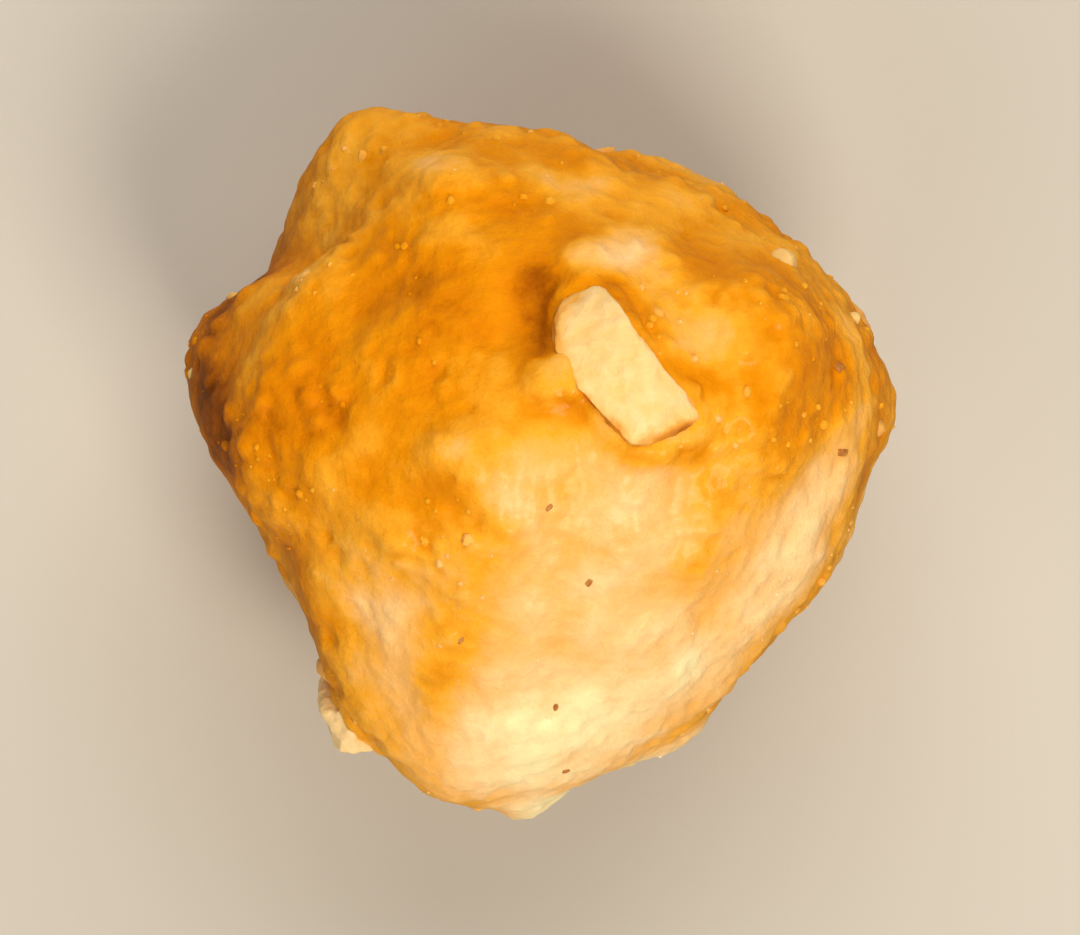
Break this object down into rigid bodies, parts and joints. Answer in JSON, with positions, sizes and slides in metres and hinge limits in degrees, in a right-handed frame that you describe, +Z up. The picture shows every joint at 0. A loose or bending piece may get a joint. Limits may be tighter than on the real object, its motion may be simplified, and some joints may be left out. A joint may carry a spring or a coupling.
{
  "type": "caramelized hazelnut",
  "caption": "Roasted hazelnut kernel in a lumpy amber coat of set caramel, with a sliver and crumbs of chopped nut stuck in it.",
  "frame": {"origin": "bottom centre of the nut's bounding box, on the surface that it lies on", "axes": "+X across the kernel, +Y from its tip to its blunt base, +Z up out of the side that shows"},
  "size_m": [0.0124, 0.0126, 0.011],
  "materials": {
    "caramel_coat": "glossy set sugar, amber",
    "nut_flesh": "broken roasted nut, pale",
    "sugar": "clear pale grains"
  },
  "bodies": {
    "root": {"caramelized_hazelnut": "caramel_coat"}
  },
  "joints": []
}
